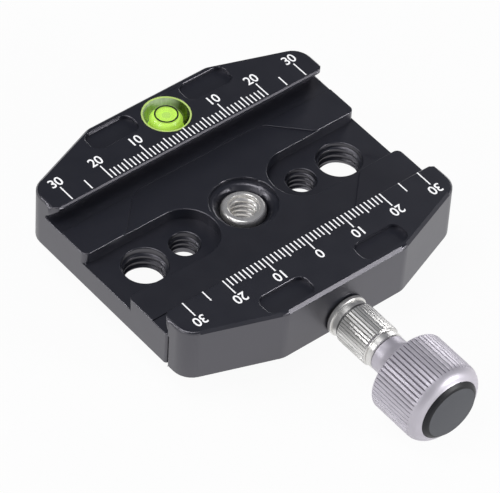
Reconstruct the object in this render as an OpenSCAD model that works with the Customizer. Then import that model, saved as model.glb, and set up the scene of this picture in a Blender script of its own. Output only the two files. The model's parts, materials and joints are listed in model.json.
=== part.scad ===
// Screw-knob quick release clamp with a dovetail channel, shown closed.
// Origin: bottom plane, on the axis of the central threaded hole.
// +X runs along the channel, -Y points to the knob and +Z is up. Millimetres.

/* [Clamp body] */
// Length of the clamp along the channel
body_len = 69.4; // [66:0.2:90]
// Width across the two closed jaws
clamp_w = 63.6; // [62:0.2:72]
// Thickness from the bottom plane to the jaw tops
body_h = 13.2; // [12.4:0.1:16]
// Radius of the four outer corners
corner_r = 4.5; // [3:0.1:6]
// Straight length in the middle of each jaw's outer side
jaw_flat_len = 30.4; // [24:0.2:36]
// Angle of the slanted stretches of the outer sides, in degrees
jaw_slant = 20; // [12:1:24]
// Chamfer round the tops of the jaws
top_chamfer = 0.6; // [0.3:0.1:1]
// Chamfer round the bottom
bottom_chamfer = 0.5; // [0.2:0.1:0.9]

/* [Dovetail channel] */
// Opening between the two lips when closed
channel_w = 33.7; // [32:0.1:36]
// How much farther out the sliding jaw's lip stands than the base's
lip_setback = 0.45; // [0.2:0.05:0.8]
// Height of the upright nose of a lip
nose_h = 0.8; // [0.4:0.1:1.2]
// Depth of the 45 degree undercut below the base's nose
undercut = 3.05; // [2.6:0.05:3.2]
// Radius of the lip ends, seen from above
lip_r = 2.3; // [0.8:0.1:2.6]
// Bright edge along a lip
lip_chamfer = 0.3; // [0.1:0.05:0.5]
// Depth of the shelf below the jaw tops
shelf_depth = 4.3; // [4:0.1:5]
// Depth of the root grooves below the shelf
groove_depth = 0.2; // [0.1:0.05:0.4]
// Distance from the centre to the root grooves
groove_in = 14.6; // [13:0.1:15.6]
// Depth of the middle relief below the shelf
relief_depth = 0.3; // [0.2:0.05:0.5]
// Half length of the straight side of the relief
relief_side = 14; // [12:0.5:16]
// Half width of the relief
relief_half_w = 15.3; // [13:0.1:16.5]
// Corner radius of the relief
relief_r = 5; // [3:0.1:6]
// Corner radius of the shelf pads where the relief meets an end pocket
pad_r = 2; // [1:0.1:3]
// Gap between the base and the closed jaw
jaw_gap = 0.2; // [0.1:0.05:0.4]

/* [End pockets and holes] */
// Width of the two end pockets
pocket_w = 13.8; // [12:0.2:16]
// Depth of an end pocket below the shelf
pocket_depth = 2.9; // [2:0.1:3.2]
// Distance from the centre to the inner end of a pocket
pocket_in = 7.9; // [7.6:0.1:9.5]
// Radius where a pocket opens at the end of the body
mouth_r = 1.3; // [0.6:0.1:2]
// Distance of the large threaded holes from the centre
large_hole_x = 25; // [23.5:0.1:26.5]
// Radius of the large threaded holes and of the centre hole
large_hole_r = 4.76; // [4:0.02:5]
// Distance of the small threaded holes from the centre
small_hole_x = 15; // [13.5:0.1:16]
// Radius of the small threaded holes
small_hole_r = 3.18; // [2.5:0.02:3.5]
// Chamfer at the mouth of a threaded hole
hole_chamfer = 0.25; // [0.1:0.05:0.5]
// Radius of the counterbore round the centre hole
counterbore_r = 7.07; // [6.8:0.02:7.6]
// Depth of the counterbore below the relief
counterbore_depth = 0.75; // [0.4:0.05:1.2]
// Radius at the top of the cone below the counterbore
cone_r = 6.5; // [6:0.1:6.7]

/* [Reducer bushing] */
// Length of the bushing
bushing_len = 7.6; // [6.6:0.1:8.4]
// Outer chamfer at the top of the bushing
bushing_chamfer = 0.7; // [0.3:0.1:1]
// Radial clearance of the bushing in its hole
bushing_gap = 0.05; // [0.02:0.01:0.08]

/* [Jaw top recesses] */
// Distance from the centre to the inner end of a recess
recess_in = 6.3; // [6:0.1:8]
// Length of a recess
recess_len = 11.5; // [8:0.1:12]
// Rim left between a recess and the jaw's outer side
recess_rim = 1.4; // [1.2:0.1:2]
// Width of a recess
recess_w = 5.2; // [4.2:0.1:6]
// Corner radius of a recess
recess_r = 2; // [1:0.1:2]
// Depth of a recess
recess_depth = 0.8; // [0.4:0.1:1.2]

/* [Clamp screw] */
// Height of the screw axis above the bottom plane
axis_z = 3.6; // [3.5:0.1:4.2]
// Radius of the clamp screw
screw_r = 2.5; // [2:0.1:2.7]
// Radial running clearance of the screw and the guide pins
run_gap = 0.05; // [0.02:0.01:0.08]
// Distance from the centre to the tip of the screw
screw_tip = 9; // [8.6:0.1:10]
// Thickness of the thrust washer
washer_t = 0.3; // [0.2:0.05:0.5]
// Radius of the thrust washer
washer_r = 4.4; // [3.6:0.1:4.6]
// Radius of the flange that presses on the jaw
flange_r = 4.7; // [4.4:0.1:5]
// Length of the flange
flange_len = 1; // [0.7:0.1:1.4]
// Radius of the groove between the flange and the splines
neck_groove_r = 4.3; // [3.6:0.1:4.4]
// Length of that groove
neck_groove_len = 1.8; // [1:0.1:2.4]
// Outer radius of the splines
spline_r = 4.65; // [4.4:0.05:5]
// Length of the splines
spline_len = 7.8; // [6:0.1:10]
// Number of splines
spline_count = 40; // [24:1:60]
// Depth of the grooves between the splines
spline_depth = 0.28; // [0.15:0.01:0.35]
// Chamfer at the outer end of the splines
spline_chamfer = 0.4; // [0.2:0.1:0.6]
// Length of the neck ring next to the knob
neck_ring_len = 1.6; // [1:0.1:2.4]
// Radius of the neck ring
neck_ring_r = 4.25; // [4:0.05:4.4]
// Radius of the spigot that carries the knob
spigot_r = 3; // [2.6:0.1:3.2]
// Length of the spigot
spigot_len = 12; // [9:0.1:13]

/* [Knob] */
// Radius of the knob over its ribs
knob_r = 9.05; // [8.6:0.05:11]
// Length of the knob without its cap
knob_len = 18.5; // [17:0.1:24]
// Gap between the steel screw and the knob
knob_gap = 0.1; // [0.05:0.05:0.3]
// Radius of the knob's neck
knob_neck_r = 4.15; // [3.9:0.05:4.6]
// Length of the knob's straight neck
knob_neck_len = 1.3; // [0.8:0.1:2]
// Length of the flare behind the ribs
flare_len = 4.5; // [3:0.1:5.5]
// Number of ribs
rib_count = 60; // [36:1:72]
// Depth of the grooves between the ribs
rib_depth = 0.33; // [0.2:0.01:0.45]
// Radius of the round front edge of the knob
front_r = 2.9; // [2:0.1:3]
// Radius of the knob's cap
cap_r = 6.8; // [6:0.1:7]
// How far the cap stands out of the knob
cap_proud = 0.9; // [0.6:0.1:1.2]
// Width of the cap's chamfered border
cap_border = 1; // [0.6:0.1:1.4]
// Depth of the seat that holds the cap
cap_seat = 1.2; // [0.8:0.1:2]

/* [Guide pins and springs] */
// Distance of the guide pins from the screw axis
pin_x = 21; // [18:0.5:23]
// Radius of a guide pin
pin_r = 2; // [1.6:0.1:2.1]
// Depth of the guide pin holes in the base
pin_bore_len = 11; // [10:0.1:11.4]
// Gap left between a pin and the end of its hole
pin_end_gap = 0.4; // [0.2:0.1:0.8]
// Wall left between a pin's seat and the jaw's outer side
pin_wall = 1.3; // [0.8:0.1:2]
// Depth of a spring's seat in the jaw
spring_seat = 4.6; // [4:0.1:5]
// Outer radius of a return spring
spring_r = 2.9; // [2.7:0.05:3]
// Radius of the spring wire
wire_r = 0.25; // [0.2:0.01:0.28]
// Number of turns of a return spring
spring_turns = 5; // [4:1:6]
// Opening travel of the jaw
travel = 6.5; // [5.5:0.1:6.5]
// Distance from the base's front face to a stop screw
stop_in = 2.2; // [2:0.1:2.6]
// Radius of a stop screw
stop_r = 1.25; // [1:0.05:1.3]

/* [Spirit level] */
// Radius of the round level
level_r = 5.15; // [4.6:0.05:5.3]
// Wall between the level and the jaw's outer side
level_wall = 1.25; // [0.9:0.05:2]
// Depth of the level's hole
level_depth = 5; // [4:0.1:6]
// Wall of the level's clear cup
cup_wall = 0.35; // [0.25:0.05:0.5]
// Radius of the vial at its foot
vial_r = 3.75; // [3.4:0.05:4]
// Radius of the vial's window
window_r = 2.75; // [2.4:0.05:3]
// Height of the vial's tapered crown
crown_h = 1.2; // [0.8:0.1:1.6]
// Radius of the target ring
ring_r = 2.35; // [2:0.05:2.6]
// Radius of the bubble
bubble_r = 0.95; // [0.6:0.05:1.2]

/* [Hidden] */
$fn = 96;
cut = 1;
half_len = body_len / 2;
half_w = clamp_w / 2;
lip_y = channel_w / 2;
root_y = lip_y + undercut;
near_lip = lip_y + lip_setback;
near_root = root_y - lip_setback;
seam_y = near_root - jaw_gap;
pocket_r = pocket_w / 2;
pad_x = relief_side + relief_half_w + relief_r * (sqrt(2) - 1) - pocket_r + pad_r * tan(22.5);
seam_r = 0.7;
shelf_z = body_h - shelf_depth;
groove_z = shelf_z - groove_depth;
relief_z = shelf_z - relief_depth;
pocket_z = shelf_z - pocket_depth;
counterbore_z = relief_z - counterbore_depth;
cone_foot_z = counterbore_z - (cone_r - large_hole_r);
shoulder_x = half_len - corner_r;
knee_x = jaw_flat_len / 2;
knee_c = knee_x - corner_r * tan(jaw_slant / 2);
shoulder_y = half_w - (corner_r + sin(jaw_slant) * (shoulder_x - knee_x)) / cos(jaw_slant);
washer_y = -half_w;
screw_y = washer_y - washer_t;
spline_s = flange_len + neck_groove_len;
spline_end = spline_s + spline_len;
collar_len = spline_end + spline_chamfer + neck_ring_len;
knob_y = screw_y - collar_len - knob_gap;
shank_len = half_w + washer_t - screw_tip;
clip_t = 0.6;
clip_r = 3;
clip_gap = 0.05;
clip_groove = 0.4;
jaw_seat_y = -near_root - spring_seat;
spring_len = spring_seat + jaw_gap;
pin_side_y = half_w - max(0, pin_x + pin_r - knee_x) * tan(jaw_slant);
pin_seat = pin_side_y - pin_wall - near_root - spring_seat;
pin_len = pin_seat + spring_len + pin_bore_len - pin_end_gap;
stop_y = -seam_y + stop_in;
stop_tip_r = 0.9;
stop_len = 1.4;
flat_z = axis_z - 0.6 * pin_r;
level_y = half_w - level_r - level_wall;
level_z = body_h - level_depth;
disc_t = 0.6;
cup_floor = 0.8;
vial_wall = 0.3;
vial_h = level_depth - cup_floor - disc_t;
vial_z = level_z + cup_floor + disc_t;
ring_t = 0.06;
ring_w = 0.32;
knob_screw_r = 2.6;
knob_screw_h = 1.6;
knob_screw_len = 7;
knob_shank_r = 1.55;
hex_r = 1.45;
hex_depth = 1.2;
knob_web = 1.5;
fit = 0.02;

// Points along an arc about c, from angle a to angle b
function arc(c, r, a, b, n = 8) = [for (i = [0:n]) c + r * [cos(a + (b - a) * i / n), sin(a + (b - a) * i / n)]];

// Outward normal of the tangent from one corner circle [x, y, r] to the next, counter-clockwise
function side_normal(p, q) =
    let (d = [q[0] - p[0], q[1] - p[1]], l = norm(d), u = d / l, m = [u[1], -u[0]], s = (p[2] - q[2]) / l)
    m * sqrt(1 - s * s) + u * s;

// Outline points round the corner circles, drawn in by the given inset, with steps chords a corner
function ring(c, inset, z, steps) = [
    for (i = [0:len(c) - 1])
        let (
            before = side_normal(c[(i + len(c) - 1) % len(c)], c[i]),
            after = side_normal(c[i], c[(i + 1) % len(c)]),
            start = atan2(before[1], before[0]),
            turn = (atan2(after[1], after[0]) - start + 720) % 360
        )
        for (k = [0:steps])
            let (a = start + turn * k / steps, r = c[i][2] - inset)
            [c[i][0] + r * cos(a), c[i][1] + r * sin(a), z]
];

// Flat outline with true arcs at its corners
module outline(c) {
    hull() for (k = c) translate([k[0], k[1]]) circle(r = k[2]);
}

// Plate of that outline, with chamfered top and bottom edges
module plate(c, h, top, bottom) {
    steps = 6;
    n = len(c) * (steps + 1);
    points = concat(
        ring(c, bottom, 0, steps), ring(c, 0, bottom, steps), ring(c, 0, h - top, steps), ring(c, top, h, steps)
    );
    walls = [
        for (k = [0:2], i = [0:n - 1])
            let (a = k * n + i, b = k * n + (i + 1) % n)
            [a, a + n, b + n, b]
    ];
    polyhedron(points = points, faces = concat([[for (i = [0:n - 1]) i]], walls, [[for (i = [n - 1:-1:0]) 3 * n + i]]));
}

// Solid of revolution about the screw axis, from y0 towards the knob
module turned(y0, points) {
    translate([0, y0, axis_z]) rotate([90, 0, 0]) rotate_extrude() polygon(points);
}

// Toothed prism about the screw axis: round teeth of radius r with V grooves
module toothed(y0, len, r, depth, count) {
    step = 360 / count;
    points = [
        for (i = [0:count - 1])
            each [
                (r - depth) * [cos(i * step), sin(i * step)],
                r * [cos((i + 0.24) * step), sin((i + 0.24) * step)],
                r * [cos((i + 0.76) * step), sin((i + 0.76) * step)]
            ]
    ];
    translate([0, y0, axis_z]) rotate([90, 0, 0]) linear_extrude(len) polygon(points);
}

// Drilling along -Y at the given place, open at its near end
module drill_y(x, y, z, r, len) {
    translate([x, y, z]) rotate([90, 0, 0]) cylinder(r = r, h = len);
}

// Space beyond the inner side of a jaw with that lip and root, extruded along the channel
module jaw_space(points, lip, root) {
    translate([-half_len - cut, 0, 0])
        rotate([90, 0, 90])
            linear_extrude(body_len + 2 * cut)
                polygon(concat(points, [
                    [root, body_h - nose_h - root + lip], [lip, body_h - nose_h],
                    [lip, body_h - lip_chamfer], [lip + lip_chamfer + cut, body_h + cut],
                    [-half_w - cut, body_h + cut]
                ]));
}

// What rounds off the upright corners at both ends of a side along X
module corner_cuts(y, r, z, h) {
    for (side = [-1, 1])
        translate([side * half_len, y, z])
            linear_extrude(h)
                difference() {
                    translate([-side * r / 2 + side * cut / 2, r / 2 - cut / 2]) square(r + cut, center = true);
                    translate([-side * r, r]) circle(r = r);
                }
}

// Corner circles of a jaw's outer side, closed at the given inner side
function jaw_circles(inner, r) = [
    [half_len - r, inner + r, r], [shoulder_x, shoulder_y, corner_r], [knee_c, half_w - corner_r, corner_r],
    [-knee_c, half_w - corner_r, corner_r], [-shoulder_x, shoulder_y, corner_r], [-half_len + r, inner + r, r]
];

// The two shallow recesses in a jaw's top
module jaw_recesses() {
    for (side = [-1, 1])
        translate([side * (recess_in + recess_len / 2), half_w - recess_rim - recess_w / 2, body_h - recess_depth])
            linear_extrude(recess_depth + cut)
                outline([
                    for (k = [[1, -1], [1, 1], [-1, 1], [-1, -1]])
                        [k[0] * (recess_len / 2 - recess_r), k[1] * (recess_w / 2 - recess_r), recess_r]
                ]);
}

// Pocket at one end of the shelf, with a round inner end and a flared mouth
module end_pocket() {
    w = pocket_r;
    translate([0, 0, pocket_z]) linear_extrude(body_h) {
        outline([[half_len + cut + w, 0, w], [pocket_in + w, 0, w]]);
        for (side = [-1, 1])
            difference() {
                translate([half_len - mouth_r, side > 0 ? w - cut : -w - mouth_r])
                    square([mouth_r + cut, mouth_r + cut]);
                translate([half_len - mouth_r, side * (w + mouth_r)]) circle(r = mouth_r);
            }
    }
}

// Quarter of the relief's outline, from an end pocket to the straight side
function relief_quarter() = concat(
    [[pad_x, pocket_r - cut]],
    arc([pad_x, pocket_r + pad_r], pad_r, 270, 225, 4),
    arc([relief_side, relief_half_w - relief_r], relief_r, 45, 90, 6)
);

// Outline of the relief in the middle of the shelf
module relief_outline() {
    q = relief_quarter();
    n = len(q) - 1;
    polygon([
        for (k = [[1, 1], [-1, 1], [-1, -1], [1, -1]], i = [0:n])
            let (p = q[k[0] * k[1] > 0 ? i : n - i])
            [k[0] * p[0], k[1] * p[1]]
    ]);
}

// Threaded hole through a floor at the given height, chamfered at both mouths
module threaded_hole(x, r, top) {
    translate([x, 0, -cut]) cylinder(r = r, h = body_h + 2 * cut);
    translate([x, 0, top - hole_chamfer]) cylinder(r1 = r, r2 = r + 2 * hole_chamfer, h = 2 * hole_chamfer);
    translate([x, 0, -hole_chamfer]) cylinder(r1 = r + 2 * hole_chamfer, r2 = r, h = 2 * hole_chamfer);
}

// Centre hole with its counterbore and cone
module centre_hole() {
    translate([0, 0, -cut]) cylinder(r = large_hole_r, h = body_h);
    translate([0, 0, cone_foot_z]) cylinder(r1 = large_hole_r, r2 = cone_r, h = cone_r - large_hole_r);
    translate([0, 0, counterbore_z]) cylinder(r = counterbore_r, h = body_h);
}

module base() {
    color([0.15, 0.15, 0.17])
        difference() {
            plate(jaw_circles(-seam_y, seam_r), body_h, top_chamfer, bottom_chamfer);
            jaw_space([
                [-half_w - cut, groove_z], [-groove_in, groove_z], [-groove_in, shelf_z],
                [groove_in, shelf_z], [groove_in, groove_z], [root_y, groove_z]
            ], lip_y, root_y);
            corner_cuts(lip_y, lip_r, groove_z, body_h);
            translate([0, 0, relief_z])
                linear_extrude(body_h)
                    intersection() {
                        relief_outline();
                        square([body_len, channel_w], center = true);
                    }
            end_pocket();
            mirror([1, 0, 0]) end_pocket();
            centre_hole();
            for (side = [-1, 1]) {
                threaded_hole(side * large_hole_x, large_hole_r, pocket_z);
                threaded_hole(side * small_hole_x, small_hole_r, pocket_z);
                drill_y(side * pin_x, pin_bore_len - seam_y, axis_z, pin_r + run_gap, pin_bore_len + cut);
                translate([side * pin_x, stop_y, -cut]) cylinder(r = stop_r + fit, h = cut + axis_z - pin_r / 2);
            }
            drill_y(0, 1 - screw_tip, axis_z, screw_r + run_gap, half_w);
            translate([0, level_y, level_z]) cylinder(r = level_r + fit, h = level_depth + cut);
            jaw_recesses();
        }
}

module moving_jaw() {
    color([0.15, 0.15, 0.17])
        difference() {
            mirror([0, 1, 0])
                difference() {
                    plate(jaw_circles(lip_y - 4 * lip_r, lip_r), body_h, top_chamfer, bottom_chamfer);
                    jaw_space([[-half_w - cut, -cut], [near_root, -cut]], near_lip, near_root);
                    corner_cuts(near_lip, lip_r, groove_z, body_h);
                    corner_cuts(near_root, seam_r, -cut, groove_z + cut);
                    jaw_recesses();
                }
            drill_y(0, 0, axis_z, screw_r + run_gap, half_w + cut);
            drill_y(0, 0, axis_z, clip_r + clip_gap, near_root + clip_t + clip_gap);
            for (side = [-1, 1]) {
                drill_y(side * pin_x, 0, axis_z, pin_r, spring_seat + near_root + pin_seat);
                drill_y(side * pin_x, 0, axis_z, spring_r + 2 * run_gap, near_root + spring_seat);
            }
        }
}

module clamp_screw() {
    e = spline_chamfer;
    end = spline_end + e;
    color([0.78, 0.77, 0.75]) {
        difference() {
            turned(screw_y, [
                [0, -shank_len], [screw_r - 0.5, -shank_len], [screw_r, 0.5 - shank_len], [screw_r, 0],
                [flange_r - 0.15, 0], [flange_r, 0.15], [flange_r, flange_len - 0.15],
                [flange_r - 0.15, flange_len], [neck_groove_r, flange_len], [neck_groove_r, spline_s + e],
                [neck_groove_r, end + 0.1], [neck_ring_r - 0.15, end + 0.15], [neck_ring_r - 0.15, end + 0.3],
                [neck_ring_r, end + 0.4], [neck_ring_r, collar_len - 0.2], [neck_ring_r - 0.2, collar_len],
                [spigot_r, collar_len], [spigot_r, collar_len + spigot_len - 0.4],
                [spigot_r - 0.4, collar_len + spigot_len], [0, collar_len + spigot_len]
            ]);
            clip_slot();
            drill_y(0, screw_y - collar_len - spigot_len + 8, axis_z, 1.6, 8 + cut);
        }
        intersection() {
            turned(screw_y, [
                [spigot_r, spline_s], [spline_r - 0.2, spline_s], [spline_r, spline_s + 0.2],
                [spline_r, spline_end], [spline_r - e, end], [spigot_r, end]
            ]);
            toothed(screw_y - spline_s, spline_len + e, spline_r + fit, spline_depth, spline_count);
        }
    }
}

// Groove for the retaining clip, just inside the jaw
module clip_slot() {
    difference() {
        drill_y(0, -near_root, axis_z, screw_r + cut, clip_t);
        drill_y(0, cut - near_root, axis_z, screw_r - clip_groove, clip_t + 2 * cut);
    }
}

module retaining_clip() {
    color([0.35, 0.35, 0.38])
        difference() {
            drill_y(0, -near_root - clip_gap / 2, axis_z, clip_r, clip_t - clip_gap);
            drill_y(0, cut - near_root, axis_z, screw_r - clip_groove + clip_gap, clip_t + 2 * cut);
            translate([-0.8, -near_root - clip_t - cut, axis_z]) cube([1.6, clip_t + 2 * cut, clip_r + cut]);
        }
}

module thrust_washer() {
    color([0.2, 0.2, 0.2])
        difference() {
            drill_y(0, washer_y, axis_z, washer_r, washer_t);
            drill_y(0, washer_y + cut, axis_z, screw_r + run_gap, washer_t + 2 * cut);
        }
}

module knob() {
    n = knob_neck_len;
    shoulder = n + flare_len;
    face = knob_len;
    bore = spigot_r + fit;
    floor_s = spigot_len - knob_gap + knob_web;
    color([0.67, 0.64, 0.7])
        intersection() {
            turned(knob_y, concat(
                [[bore, 0], [knob_neck_r - 0.15, 0], [knob_neck_r, 0.15]],
                [[knob_neck_r, n]],
                [for (i = [1:7]) [
                    knob_neck_r + (knob_r - 0.5 - knob_neck_r) * (1 - cos(i * 90 / 7)),
                    n + flare_len * sin(i * 90 / 7)
                ]],
                arc([knob_r - 0.5, shoulder + 0.5], 0.5, -90, 0, 3),
                arc([knob_r - front_r, face - front_r], front_r, 0, 72, 8),
                [[cap_r + 0.05, face]],
                [[cap_r + fit, face - cap_seat], [knob_screw_r + 1, face - cap_seat]],
                [[knob_screw_r + 1, floor_s], [1.7, floor_s], [1.7, floor_s - knob_web], [bore, floor_s - knob_web]]
            ));
            toothed(knob_y + cut, knob_len + 2 * cut, knob_r + fit, rib_depth, rib_count);
        }
}

module knob_cap() {
    s = knob_len - cap_seat;
    top = knob_len + cap_proud;
    color([0.2, 0.2, 0.22])
        turned(knob_y, [
            [0, s + 0.1], [cap_r, s + 0.1], [cap_r, knob_len + 0.1], [cap_r - cap_border, top],
            [cap_r - cap_border - 0.1, top], [cap_r / 2, top + 0.15], [0, top + 0.2]
        ]);
}

module knob_screw() {
    head = spigot_len - knob_gap + knob_web;
    tip = head - knob_screw_len;
    color([0.6, 0.6, 0.62])
        difference() {
            turned(knob_y, [
                [0, tip], [knob_shank_r - 0.35, tip], [knob_shank_r, tip + 0.4], [knob_shank_r, head],
                [knob_screw_r, head],
                [knob_screw_r, head + knob_screw_h - 0.2], [knob_screw_r - 0.2, head + knob_screw_h],
                [0, head + knob_screw_h]
            ]);
            translate([0, knob_y - head - knob_screw_h + hex_depth, axis_z])
                rotate([90, 0, 0]) cylinder(r = hex_r, h = hex_depth + cut, $fn = 6);
        }
}

// Guide pin: pressed into the jaw, sliding in the base, with a flat for its stop screw
module guide_pin(side) {
    y0 = jaw_seat_y - pin_seat;
    color([0.75, 0.75, 0.77])
        difference() {
            translate([side * pin_x, y0 + pin_len, axis_z])
                rotate([90, 0, 0])
                    rotate_extrude()
                        polygon([
                            [0, 0], [pin_r - 0.3, 0], [pin_r, 0.3], [pin_r, pin_len - 0.3],
                            [pin_r - 0.3, pin_len], [0, pin_len]
                        ]);
            translate([side * pin_x - pin_r, stop_y - stop_tip_r - 0.1, axis_z - pin_r - cut])
                cube([2 * pin_r, travel + 2 * stop_tip_r + 0.2, cut + flat_z - axis_z + pin_r]);
        }
}

module guide_pin_left() { guide_pin(-1); }

module guide_pin_right() { guide_pin(1); }

// Rings of points round a helix along -Y, one closed loop of points a ring
module spring(side) {
    sides = 6;
    per_turn = 14;
    n = spring_turns * per_turn;
    coil = spring_r - wire_r;
    rise = spring_len - 2 * wire_r - 0.1;
    points = [
        for (i = [0:n], k = [0:sides - 1])
            let (a = i * 360 / per_turn, b = k * 360 / sides, r = coil + wire_r * cos(b))
            [r * cos(a), rise * i / n + wire_r * sin(b), r * sin(a)]
    ];
    walls = [
        for (i = [0:n - 1], k = [0:sides - 1])
            let (a = i * sides + k, b = i * sides + (k + 1) % sides)
            [a, a + sides, b + sides, b]
    ];
    ends = [[for (k = [0:sides - 1]) k], [for (k = [sides - 1:-1:0]) n * sides + k]];
    color([0.72, 0.72, 0.74])
        translate([side * pin_x, jaw_seat_y + wire_r + 0.05, axis_z])
            polyhedron(points = points, faces = concat(walls, ends), convexity = 10);
}

module return_spring_left() { spring(-1); }

module return_spring_right() { spring(1); }

module stop_screw(side) {
    color([0.3, 0.3, 0.32])
        translate([side * pin_x, stop_y, 0])
            difference() {
                union() {
                    translate([0, 0, 0.1]) cylinder(r = stop_r, h = stop_len - 0.1);
                    cylinder(r = stop_tip_r, h = flat_z - 0.1);
                }
                translate([0, 0, -cut]) cylinder(r = 0.7, h = cut + 0.9, $fn = 6);
            }
}

module stop_screw_left() { stop_screw(-1); }

module stop_screw_right() { stop_screw(1); }

module reducer_bushing() {
    r = large_hole_r - bushing_gap;
    c = bushing_chamfer;
    color([0.85, 0.83, 0.8])
        rotate_extrude()
            polygon([
                [small_hole_r, 0], [r - 0.3, 0], [r, 0.3], [r, bushing_len - c], [r - c, bushing_len],
                [small_hole_r + 0.25, bushing_len], [small_hole_r, bushing_len - 0.25]
            ]);
}

// Solid of revolution about the upright axis of the level
module level_turned(points) {
    translate([0, level_y, level_z]) rotate_extrude() polygon(points);
}

module level_cup() {
    r = level_r;
    color([0.8, 0.85, 0.78, 0.5])
        level_turned([
            [0, 0], [r - 0.2, 0], [r, 0.2], [r, level_depth], [r - cup_wall, level_depth],
            [r - cup_wall, level_depth - 0.2], [vial_r + 0.45, cup_floor], [0, cup_floor]
        ]);
}

module level_disc() {
    color([0.85, 0.95, 0.5])
        level_turned([[0, cup_floor], [vial_r, cup_floor], [vial_r, cup_floor + disc_t], [0, cup_floor + disc_t]]);
}

module level_vial() {
    z = cup_floor + disc_t;
    top = z + vial_h;
    w = vial_wall;
    color([0.85, 0.95, 0.7, 0.4])
        level_turned([
            [vial_r, z], [vial_r, top - crown_h], [window_r, top], [0, top],
            [0, top - w], [window_r - w / 2, top - w], [vial_r - w, top - crown_h - w / 2], [vial_r - w, z]
        ]);
}

module level_fluid() {
    z = cup_floor + disc_t;
    top = z + vial_h - vial_wall;
    w = vial_wall + fit;
    color([0.76, 0.92, 0.3])
        difference() {
            level_turned([
                [0, z], [vial_r - w, z], [vial_r - w, top + vial_wall / 2 - crown_h],
                [window_r - w / 2 - fit, top - fit], [0, top - fit]
            ]);
            level_bubble_form(fit);
        }
}

// Flattened bubble under the window
module level_bubble_form(grow) {
    translate([0, level_y, body_h - vial_wall - 2 * fit - 0.35])
        rotate_extrude()
            polygon([
                [0, -grow], [bubble_r * 0.6, -grow], [bubble_r + grow, 0.18],
                [bubble_r + grow, 0.35 + grow], [0, 0.35 + grow]
            ]);
}

module level_bubble() {
    color([0.9, 1, 0.6]) level_bubble_form(0);
}

module level_ring() {
    color("black")
        level_turned([
            [ring_r - ring_w / 2, level_depth], [ring_r + ring_w / 2, level_depth],
            [ring_r + ring_w / 2, level_depth + ring_t], [ring_r - ring_w / 2, level_depth + ring_t]
        ]);
}

base();
moving_jaw();
clamp_screw();
thrust_washer();
retaining_clip();
knob();
knob_cap();
knob_screw();
guide_pin_left();
guide_pin_right();
return_spring_left();
return_spring_right();
stop_screw_left();
stop_screw_right();
reducer_bushing();
level_cup();
level_disc();
level_vial();
level_fluid();
level_bubble();
level_ring();
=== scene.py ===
import json
import math
import bpy
import bmesh
from mathutils import Matrix, Vector

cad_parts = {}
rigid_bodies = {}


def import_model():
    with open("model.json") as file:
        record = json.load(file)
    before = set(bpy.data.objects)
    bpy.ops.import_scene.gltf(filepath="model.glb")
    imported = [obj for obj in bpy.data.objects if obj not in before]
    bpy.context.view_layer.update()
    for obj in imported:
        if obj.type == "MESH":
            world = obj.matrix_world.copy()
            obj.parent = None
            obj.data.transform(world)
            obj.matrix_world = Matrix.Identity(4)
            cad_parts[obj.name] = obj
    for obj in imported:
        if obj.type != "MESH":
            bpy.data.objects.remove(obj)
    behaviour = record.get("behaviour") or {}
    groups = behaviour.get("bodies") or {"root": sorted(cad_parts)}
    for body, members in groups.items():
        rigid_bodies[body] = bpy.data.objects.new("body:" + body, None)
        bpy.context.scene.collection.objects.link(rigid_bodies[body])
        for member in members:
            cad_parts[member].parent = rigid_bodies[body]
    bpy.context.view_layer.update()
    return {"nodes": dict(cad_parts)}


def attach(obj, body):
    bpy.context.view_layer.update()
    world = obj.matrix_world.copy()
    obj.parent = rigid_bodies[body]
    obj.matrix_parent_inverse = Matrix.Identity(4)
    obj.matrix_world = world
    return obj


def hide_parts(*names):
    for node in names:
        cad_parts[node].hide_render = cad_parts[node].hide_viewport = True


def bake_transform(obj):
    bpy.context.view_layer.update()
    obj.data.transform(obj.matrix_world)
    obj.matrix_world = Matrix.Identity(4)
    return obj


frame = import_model()
nodes = frame["nodes"]
mm = 0.001                                                   # new pieces are modelled in mm
print("frame loaded", len(nodes), "nodes")


# Selection, modifiers and copies of the solids
copyLook = {"merge": 0.0000015, "flat": 0.6, "smooth": 32}   # metres, degrees, degrees
sweepLook = {"merge": 0.0005}                                # mm


def clearSelection():
    if bpy.context.object and bpy.context.object.mode != "OBJECT":
        bpy.ops.object.mode_set(mode="OBJECT")
    for thing in bpy.context.scene.objects:
        thing.select_set(False)


def pick(piece):
    clearSelection()
    piece.select_set(True)
    bpy.context.view_layer.objects.active = piece


def editAll(piece):
    pick(piece)
    bpy.ops.object.mode_set(mode="EDIT")
    bpy.ops.mesh.select_all(action="SELECT")


def applyModifier(piece, kind, **values):
    pick(piece)
    modifier = piece.modifiers.new(kind.title(), kind)
    for key, value in values.items():
        setattr(modifier, key, value)
    bpy.ops.object.modifier_apply(modifier=modifier.name)


def smoothByAngle(piece, degrees):
    pick(piece)
    bpy.ops.object.shade_smooth_by_angle(angle=math.radians(degrees))


def inMetres(piece):
    bpy.context.view_layer.update()
    piece.data.transform(piece.matrix_world)
    piece.matrix_world = Matrix.Identity(4)
    piece.data.transform(Matrix.Scale(mm, 4))


def copyNode(node, name):
    piece = bpy.data.objects.new(name, nodes[node].data.copy())
    bpy.context.scene.collection.objects.link(piece)
    pick(piece)
    bpy.ops.mesh.customdata_custom_splitnormals_clear()
    editAll(piece)
    bpy.ops.mesh.remove_doubles(threshold=copyLook["merge"])
    bpy.ops.mesh.dissolve_limited(angle_limit=math.radians(copyLook["flat"]))
    bpy.ops.object.mode_set(mode="OBJECT")
    return piece


def sweepHelix(profile, pitch, turns, steps):                # the piece stays in edit mode
    applyModifier(profile, "SCREW", angle=2 * math.pi, screw_offset=pitch, iterations=turns,
                  steps=steps, render_steps=steps, use_normal_calculate=True)
    editAll(profile)
    bpy.ops.mesh.remove_doubles(threshold=sweepLook["merge"])
    bpy.ops.mesh.select_all(action="SELECT")
    bpy.ops.mesh.fill_holes(sides=0)


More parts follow.
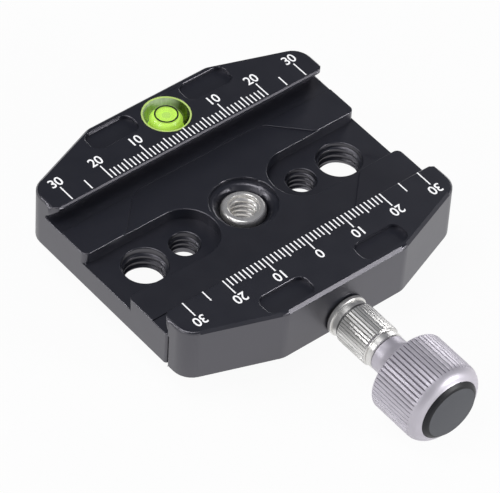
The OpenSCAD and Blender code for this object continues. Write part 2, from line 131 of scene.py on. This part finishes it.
def dress(piece, body, material, slotName, *replaced):
    piece.data.materials.clear()
    piece.data.materials.append(material)
    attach(piece, body)
    if replaced:
        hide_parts(*replaced)


# Shader maths and nodes
class Value:
    def __init__(self, shader, socket):
        self.shader, self.socket = shader, socket

    def maths(self, operation, other, swap=False):
        first, second = (other, self) if swap else (self, other)
        return self.shader.node("ShaderNodeMath", {"operation": operation}, {0: first, 1: second})

    def __add__(self, other):
        return self.maths("ADD", other)

    def __radd__(self, other):
        return self.maths("ADD", other, True)

    def __mul__(self, other):
        return self.maths("MULTIPLY", other)

    def __rmul__(self, other):
        return self.maths("MULTIPLY", other, True)

    def __pow__(self, other):
        return self.maths("POWER", other)


class Shader:
    def __init__(self, owner):                               # a material or a world
        owner.use_nodes = True
        self.owner, self.tree = owner, owner.node_tree

    def node(self, kind, settings=None, inputs=None, out=0):
        made = self.tree.nodes.new(kind)
        for key, value in (settings or {}).items():
            if key == "stops":
                ramp = made.color_ramp
                while len(ramp.elements) < len(value):
                    ramp.elements.new(0.5)
                for element, (position, colour) in zip(ramp.elements, value):
                    element.position, element.color = position, colour
            else:
                setattr(made, key, value)
        for key, value in (inputs or {}).items():
            self.feed(made.inputs[key], value)
        return Value(self, made.outputs[out])

    def feed(self, socket, value):
        if isinstance(value, Value):
            self.tree.links.new(value.socket, socket)
        else:
            socket.default_value = value

    def set(self, **values):
        principled = self.tree.nodes["Principled BSDF"]
        for key, value in values.items():
            self.feed(principled.inputs[key.replace("_", " ")], value)

    def place(self, scale=(1, 1, 1), centre=(0, 0, 0)):
        return self.node("ShaderNodeMapping", {}, {
            "Vector": self.node("ShaderNodeTexCoord", out="Object"),
            "Location": [-c * s for c, s in zip(centre, scale)],
            "Scale": scale})

    def axes(self, point):
        split = self.node("ShaderNodeSeparateXYZ", {}, {0: point}).socket.node
        return [Value(self, split.outputs[axis]) for axis in "XYZ"]

    def noise(self, scale, detail=3, where=None):
        return self.node("ShaderNodeTexNoise", {}, {
            "Vector": where or self.place(), "Scale": scale, "Detail": detail})

    def bump(self, height, strength, distance):
        return self.node("ShaderNodeBump", {}, {
            "Height": height, "Strength": strength, "Distance": distance})

    def mixColour(self, factor, a, b):
        return self.node("ShaderNodeMix", {"data_type": "RGBA"}, {0: factor, 6: a, 7: b}, out=2)

    def ramp(self, value, low, high, **settings):
        return self.node("ShaderNodeMapRange", settings, {0: value, 1: low, 2: high})

    def aboutScrew(self, axisZ):                             # radius, and place along the axis
        across, along, height = self.axes(self.place(centre=(0, 0, axisZ)))
        return (across * across + height * height) ** 0.5, along

    def landMask(self, look):                                # 0 in the grooves, where shade is painted, 1 elsewhere
        radius, along = self.aboutScrew(look["axisZ"])
        land = self.ramp(radius, look["low"], look["high"])
        before = along.maths("GREATER_THAN", look["start"])
        after = along.maths("LESS_THAN", look["end"])
        return land.maths("MAXIMUM", before).maths("MAXIMUM", after)


def rgba(colour, dim=1.0):
    return tuple(c * dim for c in colour) + (1.0,)


# Black anodising of the body and the jaw
blackLook = {"colour": (0.0040, 0.0054, 0.0096), "pale": (0.0056, 0.0070, 0.0118),
             "rough": 0.3, "index": 2.0, "tint": (0.94, 0.91, 1.0),
             "broadScale": 220, "broadRough": 0.06, "grainScale": 9000, "grainRough": 0.05,
             "bump": 0.35, "depth": 0.000004}


def makeBlackAnodised():
    look = blackLook
    s = Shader(bpy.data.materials.new("blackAnodised"))
    broad = s.noise(look["broadScale"], detail=4)
    grain = s.noise(look["grainScale"], detail=2)
    s.set(Base_Color=s.mixColour(broad, rgba(look["colour"]), rgba(look["pale"])),
          Roughness=look["rough"] + broad * look["broadRough"] + grain * look["grainRough"],
          IOR=look["index"],
          Specular_Tint=rgba(look["tint"]),
          Normal=s.bump(grain, look["bump"], look["depth"]))
    return s.owner


# Turned steel, with tool marks that run round the axis, and on the collar painted shade in its
# spline grooves
toolMarks = {"along": 220, "across": 9000, "broadScale": 400, "dim": 0.82,
             "rough": 0.08, "bump": 0.03, "depth": 0.0000015}
collarLook = {"colour": (0.84, 0.83, 0.81), "rough": 0.33, "metallic": 0.85, "axis": 1,
              "groove": (0.2, 0.2, 0.2), "axisZ": 0.0036, "low": 0.0044, "high": 0.00453,
              "start": -0.0344, "end": -0.0429}
bushingLook = {"colour": (0.97, 0.95, 0.92), "rough": 0.24, "metallic": 0.7, "axis": 2}
plainLook = {"colour": (0.6, 0.6, 0.6), "rough": 0.3, "metallic": 1.0, "axis": 1}


def makeTurnedSteel(name, look):
    s = Shader(bpy.data.materials.new(name))
    stretch = [toolMarks["along"]] * 3
    stretch[look["axis"]] = toolMarks["across"]
    marks = s.noise(1, detail=2, where=s.place(tuple(stretch)))
    broad = s.noise(toolMarks["broadScale"])
    colour = s.mixColour(broad, rgba(look["colour"]), rgba(look["colour"], toolMarks["dim"]))
    # the collar's spline grooves are painted dark: painted shade
    if "groove" in look:
        colour = s.mixColour(s.landMask(look), rgba(look["groove"]), colour)
    s.set(Base_Color=colour,
          Metallic=look["metallic"],
          Roughness=look["rough"] + marks * toolMarks["rough"],
          Normal=s.bump(marks, toolMarks["bump"], toolMarks["depth"]))
    return s.owner


# Grey anodising of the knob, with painted shade between its ribs
knobLook = {"colour": (0.6, 0.57, 0.63), "dim": 0.9, "metallic": 0.45, "rough": 0.38,
            "broadScale": 500, "grainScale": 7000, "grainRough": 0.1, "bump": 0.3,
            "depth": 0.000005, "groove": (0.17, 0.155, 0.19), "axisZ": 0.0036,
            "low": 0.00876, "high": 0.00894, "start": -0.0509, "end": -0.0613}


def makeKnobAnodised():
    look = knobLook
    s = Shader(bpy.data.materials.new("knobAnodised"))
    broad = s.noise(look["broadScale"], detail=4)
    grain = s.noise(look["grainScale"], detail=2)
    colour = s.mixColour(broad, rgba(look["colour"]), rgba(look["colour"], look["dim"]))
    s.set(Base_Color=s.mixColour(s.landMask(look), rgba(look["groove"]), colour),
          Metallic=look["metallic"],
          Roughness=look["rough"] + grain * look["grainRough"],
          Normal=s.bump(grain, look["bump"], look["depth"]))
    return s.owner


# Cap: a grey disc inside a near black ring of painted shade, where the cap sits in the knob's bore
capLook = {"disc": (0.075, 0.078, 0.088), "border": (0.008, 0.008, 0.011), "axisZ": 0.0036,
           "discRadius": 0.0058, "edge": 0.00003, "grainScale": 5000, "rough": 0.4,
           "grainRough": 0.1, "gloss": 0.3, "bump": 0.3, "depth": 0.000003}


def makeCapPlastic():
    look = capLook
    s = Shader(bpy.data.materials.new("capPlastic"))
    grain = s.noise(look["grainScale"], detail=2)
    radius = s.aboutScrew(look["axisZ"])[0]
    # the ring outside the disc is painted near black: painted shade
    edge = s.ramp(radius, look["discRadius"] - look["edge"], look["discRadius"])
    s.set(Base_Color=s.mixColour(edge, rgba(look["disc"]), rgba(look["border"])),
          Roughness=look["rough"] + grain * look["grainRough"],
          Specular_IOR_Level=look["gloss"],
          Normal=s.bump(grain, look["bump"], look["depth"]))
    return s.owner


# Plain finishes of the small pieces and the marks
plasticGrain = {"broadScale": 300, "dim": 0.85, "rough": 0.08, "bump": 0.3}
# the marks glow a little although they are no lamp: a painted glow
engravedLook = {"colour": (0.86, 0.86, 0.87), "rough": 0.55, "glow": 0.4}


def makePlastic(name, colour, rough, grainScale=6000, depth=0.000004, **more):
    s = Shader(bpy.data.materials.new(name))
    broad = s.noise(plasticGrain["broadScale"], detail=4)
    grain = s.noise(grainScale, detail=2)
    s.set(Base_Color=s.mixColour(broad, rgba(colour), rgba(colour, plasticGrain["dim"])),
          Roughness=rough + grain * plasticGrain["rough"],
          Normal=s.bump(grain, plasticGrain["bump"], depth), **more)
    return s.owner


blackAnodised = makeBlackAnodised()
collarSteel = makeTurnedSteel("collarSteel", collarLook)
bushingSteel = makeTurnedSteel("bushingSteel", bushingLook)
plainSteel = makeTurnedSteel("plainSteel", plainLook)
knobAnodised = makeKnobAnodised()
capPlastic = makeCapPlastic()
blackSteel = makePlastic("blackSteel", (0.02, 0.02, 0.022), 0.4)
washerPlastic = makePlastic("washerPlastic", (0.03, 0.03, 0.03), 0.5)
ringInk = makePlastic("ringInk", (0.01, 0.012, 0.008), 0.4)
engravedWhite = makePlastic("engravedWhite", engravedLook["colour"], engravedLook["rough"],
                            Emission_Color=rgba((1, 1, 1)), Emission_Strength=engravedLook["glow"])
print("finishes made")


# Small rounded edges: a bevel that narrows where a face has little room
edgeLook = {"width": 0.0002, "fineWidth": 0.0001, "segments": 3, "share": 0.4,
            "limit": 55, "coplanar": 0.9999, "smooth": 50, "cornerWeight": 80,
            "attempts": 90, "reach": 6, "corners": 6, "parallel": 1e-18,
            "farthest": 1.0, "nearest": 0.0000001, "flatArea": 0.000012, "alike": 0.85}


def roomBeside(mesh, face, seams):                           # from each edge across to the next one
    corners = [mesh.vertices[v].co for v in face.vertices]
    sides = list(zip(corners, corners[1:] + corners[:1]))
    solid = [key not in seams for key in face.edge_keys]
    room = {}
    for key, (start, end) in zip(face.edge_keys, sides):
        along = (end - start).normalized()
        inward = face.normal.cross(along)
        middle = (start + end) / 2
        spots = [((c - middle).dot(along), (c - middle).dot(inward)) for c in corners]
        nearest = edgeLook["farthest"]
        for (x0, y0), (x1, y1), real in zip(spots, spots[1:] + spots[:1], solid):
            if real and (x0 < 0) != (x1 < 0):
                across = y0 - x0 * (y1 - y0) / (x1 - x0)
                if across > edgeLook["nearest"]:             # the edge itself is at zero
                    nearest = min(nearest, across)
        room[key] = nearest
    return room


def weighEdges(piece, width):
    mesh = piece.data
    faces, seams = {}, set()
    for face in mesh.polygons:
        for key in face.edge_keys:
            if key in faces and faces[key].normal.dot(face.normal) > edgeLook["coplanar"]:
                seams.add(key)                               # a seam splits one flat face in two
            faces[key] = face
    faces = {}
    for face in mesh.polygons:
        room = roomBeside(mesh, face, seams)
        for key in face.edge_keys:
            faces.setdefault(key, []).append((face, room[key]))
    weights = mesh.attributes.new("bevel_weight_edge", "FLOAT", "EDGE")
    sharpest = math.cos(math.radians(edgeLook["limit"]))
    for edge in mesh.edges:
        pair = faces.get(edge.key, [])
        if len(pair) != 2:
            continue
        (one, roomOne), (two, roomTwo) = pair
        shallow = one.normal.dot(two.normal) > sharpest
        if shallow or (two.center - one.center).dot(one.normal) > 0:
            continue                                         # shallow and inside edges stay crisp
        weights.data[edge.index].value = min(1, min(roomOne, roomTwo) * edgeLook["share"] / width)


def firstCrossing(spots, reach):                             # where an outline runs over itself
    count = len(spots)
    for i in range(count):
        a, b = spots[i], spots[(i + 1) % count]
        for step in range(2, min(reach, count - 2) + 1):
            j = (i + step) % count
            c, d = spots[j], spots[(j + 1) % count]
            scale = (b[0] - a[0]) * (d[1] - c[1]) - (b[1] - a[1]) * (d[0] - c[0])
            if abs(scale) < edgeLook["parallel"]:
                continue
            along = ((c[0] - a[0]) * (d[1] - c[1]) - (c[1] - a[1]) * (d[0] - c[0])) / scale
            across = ((c[0] - a[0]) * (b[1] - a[1]) - (c[1] - a[1]) * (b[0] - a[0])) / scale
            if 0 < along < 1 and 0 < across < 1:
                return i, step, along
    return None


def untangle(piece):                                         # merges the corners of each crossing
    shape = bmesh.new()
    shape.from_mesh(piece.data)
    for _ in range(edgeLook["attempts"]):
        crossing = None
        for face in shape.faces:
            if len(face.verts) < edgeLook["corners"]:
                continue
            ring = [v.co for v in face.verts]
            side = face.normal.orthogonal().normalized()
            other = face.normal.cross(side)
            crossing = firstCrossing([(c.dot(side), c.dot(other)) for c in ring], edgeLook["reach"])
            if crossing:
                start, step, along = crossing
                meeting = ring[start].lerp(ring[(start + 1) % len(ring)], along)
                knot = [face.verts[(start + k) % len(ring)] for k in range(1, step + 1)]
                beside = {f: list(f.verts) for v in knot for f in v.link_faces
                          if len(f.verts) >= edgeLook["corners"]}
                bmesh.ops.pointmerge(shape, verts=knot, merge_co=meeting)
                for lost, corners in beside.items():
                    if not lost.is_valid:                    # a face that the merge dropped
                        shape.faces.new([v for v in corners if v.is_valid]).smooth = True
                shape.normal_update()
                break
        if not crossing:
            break
    shape.to_mesh(piece.data)
    shape.free()


def flattenNormals(piece):                                   # large faces shade exactly flat
    mesh = piece.data
    flats = {}
    for face in mesh.polygons:
        if face.area > edgeLook["flatArea"]:
            for spot in face.vertices:
                flats.setdefault(spot, []).append(face.normal.copy())
    chosen = []
    for face in mesh.polygons:
        for index in face.loop_indices:
            normal = mesh.corner_normals[index].vector.copy()
            if face.area > edgeLook["flatArea"]:
                normal = face.normal.copy()
            else:
                for flat in flats.get(mesh.loops[index].vertex_index, []):
                    if flat.dot(normal) > edgeLook["alike"]:
                        normal = flat
            chosen.append(normal)
    mesh.normals_split_custom_set(chosen)


def softenEdges(piece, width):
    spots = [v.co.copy() for v in piece.data.vertices]
    lowest = [min(s[k] for s in spots) for k in range(3)]
    highest = [max(s[k] for s in spots) for k in range(3)]
    weighEdges(piece, width)
    applyModifier(piece, "BEVEL", width=width, segments=edgeLook["segments"],
                  limit_method="WEIGHT", use_clamp_overlap=False, miter_outer="MITER_ARC")
    untangle(piece)
    for spot in piece.data.vertices:                         # no corner leaves the solid's box
        spot.co = [min(max(c, low), high) for c, low, high in zip(spot.co, lowest, highest)]
    smoothByAngle(piece, edgeLook["smooth"])
    applyModifier(piece, "WEIGHTED_NORMAL", keep_sharp=True, weight=edgeLook["cornerWeight"])
    flattenNormals(piece)


def softCopy(node, name, body, material, slotName, width):
    piece = copyNode(node, name)
    softenEdges(piece, width)
    dress(piece, body, material, slotName, node)


def plainCopy(node, name, body, material, slotName, degrees=copyLook["smooth"]):
    piece = copyNode(node, name)
    smoothByAngle(piece, degrees)
    dress(piece, body, material, slotName, node)


softCopy("base", "clampBody", "base", blackAnodised, "black_anodised", edgeLook["width"])
softCopy("moving_jaw", "slidingJaw", "jaw", blackAnodised, "black_anodised", edgeLook["width"])
print("body and jaw made")


# Thread ridges in the holes, in mm: a crest height is where a ridge shows on the side seen
threads = {
    "large": {"x": 25, "major": 4.77, "minor": 4.2, "pitch": 1.5875, "low": 0.3, "high": 4.95,
              "crestLeft": 4.1, "crestRight": 4.57},
    "small": {"x": 15, "major": 3.19, "minor": 2.78, "pitch": 1.27, "low": 0.9, "high": 4.95,
              "crestLeft": 4.3, "crestRight": 4.6},
    "bushing": {"x": 0, "major": 3.19, "minor": 2.72, "pitch": 1.27, "low": 0.3, "high": 7.1,
                "crest": 6.2},
}
threadForm = {"sunk": 0.03, "flankAngle": 30, "flankExtra": 0.1, "rounding": 0.05,
              "shoulder": 0.11, "crestHalf": 0.04, "steps": 64, "smooth": 50, "spareTurns": 2,
              "facing": 0.84}                                # radians about Z, away from the camera


def threadProfile(size):
    form = threadForm
    crest, foot = size["minor"], size["major"] + form["sunk"]
    flank = (foot - crest) * math.tan(math.radians(form["flankAngle"])) + form["flankExtra"]
    shoulder = crest + form["rounding"]
    return [(foot, -flank), (shoulder, -form["shoulder"]), (crest, -form["crestHalf"]),
            (crest, form["crestHalf"]), (shoulder, form["shoulder"]), (foot, flank)]


def makeThread(name, size, x, crestAt, material, slotName):
    clearSelection()
    profile = threadProfile(size)
    bpy.ops.mesh.primitive_circle_add(vertices=len(profile), radius=1, fill_type="NOTHING")
    ridge = bpy.context.object
    ridge.name = name
    start = size["low"] - size["pitch"]
    for vert, (r, z) in zip(ridge.data.vertices, profile):
        vert.co = (r, 0, z + start)
    turns = math.ceil((size["high"] - size["low"]) / size["pitch"]) + threadForm["spareTurns"]
    sweepHelix(ridge, size["pitch"], turns, threadForm["steps"])
    for z, outward in ((size["low"], -1), (size["high"], 1)):
        bpy.ops.mesh.select_all(action="SELECT")
        bpy.ops.mesh.bisect(plane_co=(0, 0, z), plane_no=(0, 0, outward),
                            use_fill=True, clear_outer=True)
    bpy.ops.mesh.select_all(action="SELECT")
    bpy.ops.mesh.normals_make_consistent(inside=False)
    bpy.ops.object.mode_set(mode="OBJECT")
    ridge.location = (x, 0, 0)
    turn = threadForm["facing"] - 2 * math.pi * (crestAt - start) / size["pitch"]
    ridge.rotation_euler = (0, 0, turn)
    inMetres(ridge)
    smoothByAngle(ridge, threadForm["smooth"])
    dress(ridge, "base", material, slotName)


for word, side in (("Left", -1), ("Right", 1)):
    for kind in ("large", "small"):
        size = threads[kind]
        makeThread(kind + "Thread" + word, size, side * size["x"], size["crest" + word],
                   blackAnodised, "black_anodised")
size = threads["bushing"]
makeThread("bushingThread", size, size["x"], size["crest"], bushingSteel, "bushing_steel")
print("threads made")


# Turned pieces: the splines and ribs need small smoothing angles
plainCopy("clamp_screw", "clampingScrew", "screw", collarSteel, "turned_steel", 12)
plainCopy("knob", "ribbedKnob", "screw", knobAnodised, "knob_anodised", 16)
softCopy("knob_cap", "knobCap", "screw", capPlastic, "cap_plastic", edgeLook["fineWidth"])
softCopy("reducer_bushing", "reducerBushing", "base", bushingSteel, "bushing_steel",
         edgeLook["fineWidth"])
plainCopy("thrust_washer", "thrustWasher", "jaw", washerPlastic, "dark_washer")
plainCopy("retaining_clip", "retainingClip", "screw", plainSteel, "spring_steel")
plainCopy("knob_screw", "knobFixingScrew", "screw", plainSteel, "spring_steel")
for word in ("left", "right"):
    plainCopy("guide_pin_" + word, "guidePin" + word.title(), "jaw", plainSteel, "pin_steel")
    plainCopy("stop_screw_" + word, "stopScrew" + word.title(), "base", blackSteel, "black_steel")
print("turned pieces made")


# Return springs, in mm, stretched between the jaw and the body
springLook = {"x": 21, "z": 3.6, "coil": 2.65, "wire": 0.25, "start": -24.0, "end": -19.32,
              "turns": 5, "sides": 10, "steps": 32, "smooth": 60}


def makeSpring(side, word):
    look = springLook
    clearSelection()
    bpy.ops.mesh.primitive_circle_add(vertices=look["sides"], radius=look["wire"],
                                      fill_type="NOTHING", location=(look["coil"], 0, 0),
                                      rotation=(math.pi / 2, 0, 0))
    coil = bpy.context.object
    coil.name = "returnSpring" + word
    bpy.ops.object.transform_apply(location=True, rotation=True, scale=True)
    length = look["end"] - look["start"] - 2 * look["wire"]
    sweepHelix(coil, length / look["turns"], look["turns"], look["steps"])
    bpy.ops.mesh.normals_make_consistent(inside=False)
    bpy.ops.object.mode_set(mode="OBJECT")
    coil.rotation_euler = (-math.pi / 2, 0, 0)
    coil.location = (side * look["x"], look["start"] + look["wire"], look["z"])
    inMetres(coil)
    smoothByAngle(coil, look["smooth"])
    coil.data.materials.clear()
    coil.data.materials.append(plainSteel)
    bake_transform(coil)
    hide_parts("return_spring_" + word.lower())


makeSpring(-1, "Left")
makeSpring(1, "Right")
print("springs made")


# Spirit level: on the cup, painted light on the far wall, painted shade on the near wall and a
# painted lime highlight on the rim, then the vial's contents
cupLook = {"middle": (0, 0.0254, 0), "rimZ": 0.01312, "rimGlintBand": 0.00004,
           "rimGlint": (0.66, 0.86, 0.26), "far": (0.62, 0.68, 0.56), "dim": 0.5,
           "dark": (0.018, 0.026, 0.014), "paintedShadeUntil": 0.0009, "paintedLightFrom": 0.0034,
           "streaks": (2600, 2600, 260), "rough": 0.16, "streakRough": 0.06,
           "coat": 0.6, "coatRough": 0.05}
vialLook = {"colour": (0.86, 0.94, 0.7), "haze": (0.8, 0.9, 0.6), "hazeScale": 900,
            "alpha": 0.12, "rough": 0.1, "hazeRough": 0.05, "coat": 0.5, "coatRough": 0.04}
# the liquid and the bubble glow in their own colour although they are no lamp: a painted glow
liquidLook = {"colour": (0.52, 0.86, 0.03), "rough": 0.25, "glow": 0.45}
bubbleLook = {"colour": (0.46, 0.76, 0.06), "rough": 0.2, "glow": 0.36}
fluidGrain = {"scale": 3000, "depth": 0.000001}


def makeCupPlastic():
    look = cupLook
    s = Shader(bpy.data.materials.new("cupPlastic"))
    along, height = s.axes(s.place(centre=look["middle"]))[1:]
    # the near wall is painted dark as painted shade and the far wall pale as painted light,
    # blending from one to the other along Y
    back = s.ramp(along, look["paintedShadeUntil"], look["paintedLightFrom"], interpolation_type="SMOOTHSTEP")
    streaks = s.noise(1, where=s.place(look["streaks"]))
    lit = s.mixColour(streaks, rgba(look["far"]), rgba(look["far"], look["dim"]))
    litAndShadedWall = s.mixColour(back, rgba(look["dark"]), lit)
    # a thin lime band at the top edge of the rim: a painted highlight
    top = s.ramp(height, look["rimZ"] - look["rimGlintBand"], look["rimZ"])
    s.set(Base_Color=s.mixColour(top, litAndShadedWall, rgba(look["rimGlint"])),
          Roughness=look["rough"] + streaks * look["streakRough"],
          Coat_Weight=look["coat"], Coat_Roughness=look["coatRough"])
    return s.owner


def makeClearPlastic():
    look = vialLook
    s = Shader(bpy.data.materials.new("clearPlastic"))
    haze = s.noise(look["hazeScale"])
    s.set(Base_Color=s.mixColour(haze, rgba(look["colour"]), rgba(look["haze"])),
          Alpha=look["alpha"],
          Roughness=look["rough"] + haze * look["hazeRough"],
          Coat_Weight=look["coat"], Coat_Roughness=look["coatRough"])
    return s.owner


# each fluid glows in its own colour: a painted glow
def makeFluid(name, look):
    return makePlastic(name, look["colour"], look["rough"],
                       fluidGrain["scale"], fluidGrain["depth"],
                       Emission_Color=rgba(look["colour"]), Emission_Strength=look["glow"])


limeLiquid = makeFluid("limeLiquid", liquidLook)
bubbleAir = makeFluid("bubbleAir", bubbleLook)
plainCopy("level_cup", "levelCup", "base", makeCupPlastic(), "level_clear")
plainCopy("level_disc", "levelBacking", "base", limeLiquid, "level_backing")
plainCopy("level_vial", "levelVial", "base", makeClearPlastic(), "level_clear")
plainCopy("level_fluid", "levelLiquid", "base", limeLiquid, "level_liquid")
plainCopy("level_bubble", "levelBubble", "base", bubbleAir, "level_air")
plainCopy("level_ring", "levelRing", "base", ringInk, "level_print")
print("level made")


# Scale marks and numbers, in mm, a hair proud of the jaws' tops
scaleLook = {"top": 13.2, "proud": 0.012, "sunk": 0.05, "width": 0.28, "inner": 17.5,
             "short": 2.25, "middle": 2.8, "long": 4.08, "shift": 0.2,
             "every": range(-20, 21), "outer": (-30, -25, 25, 30),
             "typeSize": 3, "typeWeight": 0.032, "typeSpacing": 0.98,
             "digitHeight": 2.35, "digitWide": 0.94, "digitGap": 0.45}
markDepth = scaleLook["proud"] + scaleLook["sunk"]
markMiddle = scaleLook["top"] + (scaleLook["proud"] - scaleLook["sunk"]) / 2


def addMark(x, y0, y1):
    clearSelection()
    low, high = sorted((y0, y1))
    bpy.ops.mesh.primitive_cube_add(size=1, location=(x, (low + high) / 2, markMiddle))
    mark = bpy.context.object
    mark.scale = (scaleLook["width"], high - low, markDepth)
    bpy.ops.object.transform_apply(location=True, rotation=False, scale=True)
    return mark


def addNumber(text, x, y, upsideDown):
    clearSelection()
    bpy.ops.object.text_add(location=(0, 0, 0))
    number = bpy.context.object
    number.data.body = text
    number.data.align_x = "CENTER"
    number.data.size = scaleLook["typeSize"]
    number.data.offset = scaleLook["typeWeight"]
    number.data.space_character = scaleLook["typeSpacing"]
    number.data.extrude = markDepth / 2
    bpy.ops.object.convert(target="MESH")
    fit = scaleLook["digitHeight"] / number.dimensions.y
    number.scale = (fit * scaleLook["digitWide"], fit, 1)
    number.rotation_euler = (0, 0, math.pi if upsideDown else 0)
    number.location = (x, y, markMiddle)
    bpy.ops.object.transform_apply(location=True, rotation=True, scale=True)
    return number


def markLength(x, far):
    if x % 10 == 0:
        return scaleLook["middle"] if far and x == 0 else scaleLook["long"]
    return scaleLook["middle"] if x % 5 == 0 else scaleLook["short"]


def makeScale(name, far, body):
    sign = 1 if far else -1
    inner = scaleLook["inner"]
    numberAt = inner + scaleLook["long"] + scaleLook["digitGap"]
    parts = []
    for x in (*scaleLook["every"], *scaleLook["outer"]):
        place = x + scaleLook["shift"]
        parts.append(addMark(place, sign * inner, sign * (inner + markLength(x, far))))
        if x % 10 == 0 and not (far and x == 0):             # the level takes the far 0's place
            parts.append(addNumber(str(abs(x)), place, sign * numberAt, not far))
    clearSelection()
    for part in parts:
        part.select_set(True)
    bpy.context.view_layer.objects.active = parts[0]
    bpy.ops.object.join()
    scale = bpy.context.object
    scale.name = name
    inMetres(scale)
    dress(scale, body, engravedWhite, None)


makeScale("farScale", True, "base")
makeScale("nearScale", False, "jaw")
print("scales made")


# Camera at the photograph's angle
shot = {"place": (-0.37372, -0.42111, 0.58289), "azimuth": -41.77, "elevation": 46.19,
        "roll": 3.884, "focal": 4022.9, "width": 500, "sensor": 36.0, "near": 0.01, "far": 20}


def makeCamera():
    data = bpy.data.cameras.new("photoCamera")
    camera = bpy.data.objects.new("photoCamera", data)
    bpy.context.scene.collection.objects.link(camera)
    data.sensor_width = shot["sensor"]
    data.lens = shot["focal"] / shot["width"] * shot["sensor"]
    data.clip_start, data.clip_end = shot["near"], shot["far"]
    a, e, r = (math.radians(shot[k]) for k in ("azimuth", "elevation", "roll"))
    back = Vector((math.sin(a) * math.cos(e), -math.cos(a) * math.cos(e), math.sin(e)))
    right = Vector((math.cos(a), math.sin(a), 0))
    up = back.cross(right)
    tilted = right * math.cos(r) + up * math.sin(r)
    turn = Matrix((tilted, back.cross(tilted), back)).transposed()
    camera.matrix_world = Matrix.Translation(shot["place"]) @ turn.to_4x4()
    bpy.context.scene.camera = camera


makeCamera()


# Floor, sky and lamps: the camera sees white, and the sky's ramp is what the metal reflects
roomLook = {"floorZ": -0.0056, "floorSize": 6, "floorColour": (0.8, 0.8, 0.8), "floorRough": 0.9,
            "glow": 1.0, "glowShare": 0.95,
            "sky": [(0.0, (0.3, 0.3, 0.3)), (0.35, (0.035, 0.038, 0.05)),
                    (0.62, (0.03, 0.033, 0.044)), (0.85, (0.105, 0.11, 0.135))]}
lampSet = [
    {"name": "keyBox", "place": (0.393, -0.715, 0.24), "size": (0.26, 0.22), "power": 4.5},
    {"name": "topBox", "place": (-0.25, 0.1, 0.9), "size": (0.5, 0.5), "power": 3.5},
    {"name": "leftBox", "place": (-0.85, -0.1, 0.35), "size": (0.4, 0.4), "power": 2},
    {"name": "backLeftBox", "place": (-0.6, 0.4, 0.34), "size": (0.1, 0.3), "power": 1.2},
    {"name": "backRightBox", "place": (0.68, 0.36, 0.2), "size": (0.22, 0.34), "power": 1.3},
]


def makeFloor():
    clearSelection()
    bpy.ops.mesh.primitive_plane_add(size=roomLook["floorSize"],
                                     location=(0, 0, roomLook["floorZ"]))
    floor = bpy.context.object
    floor.name = "studioFloor"
    s = Shader(bpy.data.materials.new("studioFloor"))
    s.set(Base_Color=rgba(roomLook["floorColour"]), Roughness=roomLook["floorRough"],
          Specular_IOR_Level=0.0)
    cameraRay = s.node("ShaderNodeLightPath", out="Is Camera Ray")
    seen = cameraRay.maths("MAXIMUM", s.node("ShaderNodeLightPath", out="Is Glossy Ray"))
    glow = s.node("ShaderNodeEmission", {}, {
        "Color": rgba((1, 1, 1)), "Strength": roomLook["glow"]})
    mixed = s.node("ShaderNodeMixShader", {}, {
        0: seen * roomLook["glowShare"],                     # the rest keeps the object's shadow
        1: Value(s, s.tree.nodes["Principled BSDF"].outputs[0]),
        2: glow})
    s.feed(s.tree.nodes["Material Output"].inputs["Surface"], mixed)
    floor.data.materials.append(s.owner)


def makeWorld():
    world = bpy.data.worlds.new("studioWorld")
    bpy.context.scene.world = world
    s = Shader(world)
    height = s.axes(s.node("ShaderNodeTexCoord", out="Generated"))[2]
    stops = [(place, rgba(colour)) for place, colour in roomLook["sky"]]
    sky = s.node("ShaderNodeValToRGB", {"stops": stops}, {0: height})
    cameraRay = s.node("ShaderNodeLightPath", out="Is Camera Ray")
    background = s.tree.nodes["Background"]
    s.feed(background.inputs["Color"], s.mixColour(cameraRay, sky, rgba((1, 1, 1))))
    s.feed(background.inputs["Strength"], 1.0)


def makeLamps():
    for lamp in lampSet:
        data = bpy.data.lights.new(lamp["name"], "AREA")
        data.shape = "RECTANGLE"
        data.size, data.size_y = lamp["size"]
        data.energy = lamp["power"]
        box = bpy.data.objects.new(lamp["name"], data)
        bpy.context.scene.collection.objects.link(box)
        box.location = lamp["place"]
        box.rotation_euler = (-Vector(lamp["place"])).to_track_quat("-Z", "Y").to_euler()


makeFloor()
makeWorld()
makeLamps()
bpy.context.scene.view_settings.view_transform = "Standard"
print("stage made")
